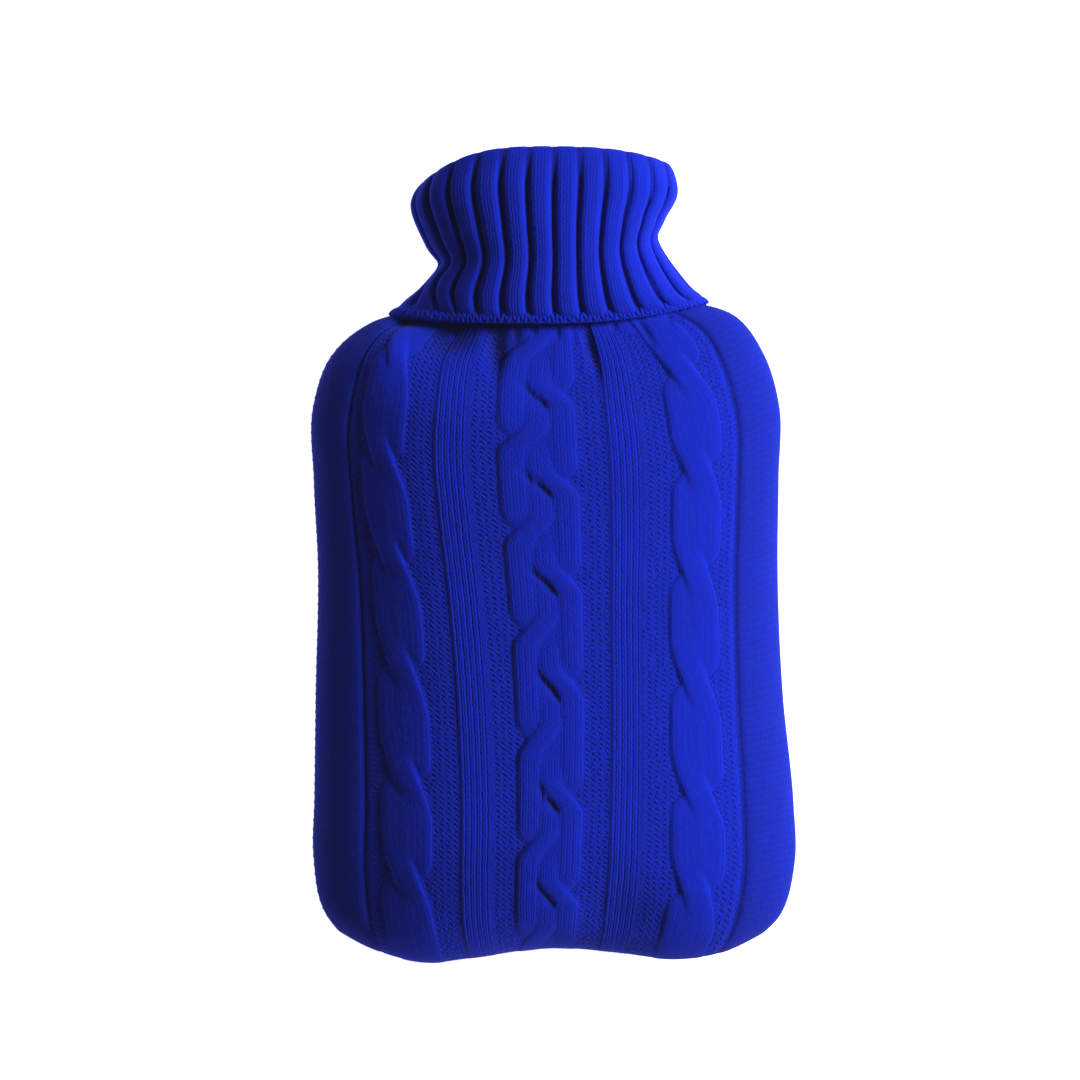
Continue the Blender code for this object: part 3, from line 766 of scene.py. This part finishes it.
def hem_point(place):
    """Middle of the cloth at the roll neck's hem."""
    angle = around(place, HEM_BUNCH, HEM_TURN)
    beside = ((place + 0.5) % 1 - 0.5 - GATHER_PLACE) / GATHER_WIDTH
    angle += GATHER_ANGLE * math.exp(-(beside**2))
    across = math.sin(angle)
    side = HEM_RIGHT if across > 0 else HEM_LEFT
    share = HEM_FRONT + (side - HEM_FRONT) * across**2
    clearance = FRONT_CLEARANCE + (SIDE_CLEARANCE - FRONT_CLEARANCE) * across**2
    return body_point(angle, share, clearance + NECK_CLOTH / 2)


def seam_point(place):
    """Middle of the cloth where the roll neck meets the panels' neck edge."""
    point = body_point(around(place, RINGS[-1].bunch, 0), 0.003, -WALL / 2)
    point[1] = MIDDLE_TOP_Y + NECK_GAP
    return point


def free_ring(ring, place):
    """Point on one of the roll neck's own rings."""
    angle = around(place, ring.bunch, ring.turn)
    right = math.sin(angle) >= 0
    middle_x = (ring.left_x + ring.right_x) / 2
    x = middle_x + (ring.right_x - middle_x) * math.sin(angle)
    side_y = ring.right_y if right else ring.left_y
    y = ring.front_y + (side_y - ring.front_y) * abs(math.sin(angle)) ** RING_BEND
    z = SEAM_Z + math.copysign(ring.depth * abs(math.cos(angle)) ** RING_SQUARE, math.cos(angle))
    return np.array([x, y, z])


def neck_column(place, steps):
    """Middle of the cloth along one wale, from the hem over the fold to the neck seam."""
    points = [hem_point(place)] + [free_ring(ring, place) for ring in RINGS] + [seam_point(place)]
    knots = range(len(points))
    return np.stack([smooth(steps, knots, [p[axis] for p in points]) for axis in range(3)], axis=-1)


def rib_stand(in_rib):
    """How far the cloth stands out at a place in a rib, from -1 in the groove to 1 on the ridge."""
    off = abs(in_rib)
    return 1 - 2 * ease(off, RIDGE_HALF, GROOVE_START) - RIDGE_CROWN * np.minimum(off / RIDGE_HALF, 1) ** 2


def make_roll_neck():
    bm = new_cloth_mesh()
    stitch, painted_shade = bm.verts.layers.float_vector["stitch"], bm.verts.layers.float["painted_shade"]
    cells = RIBS * RIB_CELLS
    steps = np.linspace(0, len(RINGS) + 1, RING_CELLS + 1)
    made = bmesh.ops.create_grid(bm, x_segments=cells, y_segments=RING_CELLS, size=0.5)["verts"]
    columns = np.array([neck_column(k / cells, steps) for k in range(cells)])
    lengths = np.linalg.norm(np.diff(columns[0], axis=0), axis=1)
    rows = np.concatenate([[0], np.cumsum(lengths)]) / COURSE
    flat = np.array([v.co[:2] for v in made])
    column_of = np.rint((flat[:, 0] + 0.5) * cells).astype(int)
    ring_of = np.rint((flat[:, 1] + 0.5) * RING_CELLS).astype(int)
    in_rib = (column_of / RIB_CELLS - RIB_SHIFT + 0.5) % 1 - 0.5
    ribbing = smooth(steps, range(len(RINGS) + 2), [1] + [ring.rib for ring in RINGS] + [0])
    ribbing = ribbing * ease(steps, BAND_START, BAND_END)
    stand = rib_stand(in_rib) * ribbing[ring_of] * RIB_DEPTH
    for k, vert in enumerate(made):
        vert.co = Vector(columns[column_of[k] % cells, ring_of[k]])
        grooved = ease(steps[ring_of[k]], BAND_START, BAND_END)
        vert[stitch] = Vector((in_rib[k] * RIB_WALES + 0.5, rows[ring_of[k]], 0))
        # Painted shade in the grooves between the ribs.
        vert[painted_shade] = float(ease(abs(in_rib[k]), RIDGE_HALF, GROOVE_START) * grooved)
    stands = {v: float(stand[k]) for k, v in enumerate(made)}
    seam_verts = [v for k, v in enumerate(made) if column_of[k] in (0, cells)]
    bm.normal_update()
    first = min(made, key=lambda v: v.co.y)
    middle = Vector((0, MIDDLE_TOP_Y, SEAM_Z))
    side = 1 if (first.co - middle).dot(first.normal) > 0 else -1
    for vert, normal in [(v, v.normal.copy()) for v in made]:
        vert.co += side * stands[vert] * normal
    bmesh.ops.remove_doubles(bm, verts=seam_verts, dist=0.2)
    piece = make_piece(bm, "ribbed_roll_neck", knit_material("neck_yarn", bump=0.00016, painted_shade_strength=0.32))
    cloth = piece.modifiers.new("cloth", "SOLIDIFY")
    cloth.thickness = NECK_CLOTH * METRE
    cloth.offset = 0
    return piece


neck = make_roll_neck()
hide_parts("roll_neck")

# ---------------------------------------------------------------------------------------------
# Hem of the roll neck. The last row is cast off in a chain, whose loops lean over one another
# along the edge.
# ---------------------------------------------------------------------------------------------

CHAIN_LOOPS = 176
CHAIN_STITCH = (5.2, 2.2, 1.8)  # length, width and thickness
CHAIN_LEAN = 0.40
CHAIN_UP = 2.3  # how high over the edge a loop's middle lies, how unevenly, and how far out
CHAIN_UNEVEN = 0.3
UNEVEN_STEP = 2.4
CHAIN_OUT = 0.85
EDGE_POINTS = CHAIN_LOOPS * 4
RISE_STEP = 0.25  # ring steps up the roll neck to the point that gives the way up

bm = new_cloth_mesh()
places = [k / EDGE_POINTS for k in range(EDGE_POINTS)]
hem = [Vector(hem_point(place)) for place in places]
rise = [Vector(neck_column(place, np.array([RISE_STEP]))[0]) for place in places]
for loop in range(CHAIN_LOOPS):
    k = loop * EDGE_POINTS // CHAIN_LOOPS
    ahead = hem[(k + 1) % len(hem)] - hem[k - 1]
    up = (rise[k] - hem[k]).normalized()
    out = ahead.cross(up).normalized()
    if out.dot(hem[k] - Vector((0, hem[k].y, SEAM_Z))) < 0:
        out = -out
    lean = ahead.normalized() * (CHAIN_LEAN if loop % 2 else -CHAIN_LEAN)
    lift = CHAIN_UP + CHAIN_UNEVEN * math.sin(loop * UNEVEN_STEP)
    add_stitch(bm, hem[k] + up * lift + out * CHAIN_OUT, up + lean, out, *CHAIN_STITCH)
chain = make_piece(bm, "hem_chain", knit_material("hem_yarn"))

# ---------------------------------------------------------------------------------------------
# Studio: a white floor that glows, one large soft light low on the right, and a faint world. The
# camera looks straight down on the cover's face.
# ---------------------------------------------------------------------------------------------

PHOTO_SPAN = 0.4436
AIM = Vector((-0.00545, 0.00715, SEAM_Z * METRE))
LENS = 150.0
SENSOR = 36.0
FLOOR_SIZE = 8
FLOOR_DROP = 0.0005
KEY_PLACE = (4.26, 1.30, 2.27)
KEY_SIZE = 1.5
KEY_POWER = 345

bpy.ops.mesh.primitive_plane_add(size=FLOOR_SIZE, location=(0, 0, -FLOOR_DROP))
floor = bpy.context.object
floor.name = "floor"
paper = bpy.data.materials.new("paper")
paper.use_nodes = True
paper_shader = paper.node_tree.nodes["Principled BSDF"]
paper_shader.inputs["Base Color"].default_value = (0.9, 0.9, 0.9, 1)
paper_shader.inputs["Roughness"].default_value = 0.9
paper_shader.inputs["Emission Color"].default_value = (1, 1, 1, 1)
paper_shader.inputs["Emission Strength"].default_value = 1.0
floor.data.materials.append(paper)

key_data = bpy.data.lights.new("key", "AREA")
key_data.shape, key_data.size, key_data.energy = "SQUARE", KEY_SIZE, KEY_POWER
key = bpy.data.objects.new("key", key_data)
key.location = KEY_PLACE
key.rotation_euler = (-Vector(KEY_PLACE)).to_track_quat("-Z", "Y").to_euler()
bpy.context.scene.collection.objects.link(key)

world = bpy.data.worlds.new("studio")
world.use_nodes = True
world.node_tree.nodes["Background"].inputs["Color"].default_value = (1, 1, 1, 1)
world.node_tree.nodes["Background"].inputs["Strength"].default_value = 0.02
bpy.context.scene.world = world
bpy.context.scene.view_settings.view_transform = "Standard"

view = bpy.data.cameras.new("camera")
view.lens, view.sensor_width = LENS, SENSOR
camera = bpy.data.objects.new("camera", view)
camera.location = AIM + Vector((0, 0, PHOTO_SPAN * LENS / SENSOR))
bpy.context.scene.collection.objects.link(camera)
bpy.context.scene.camera = camera
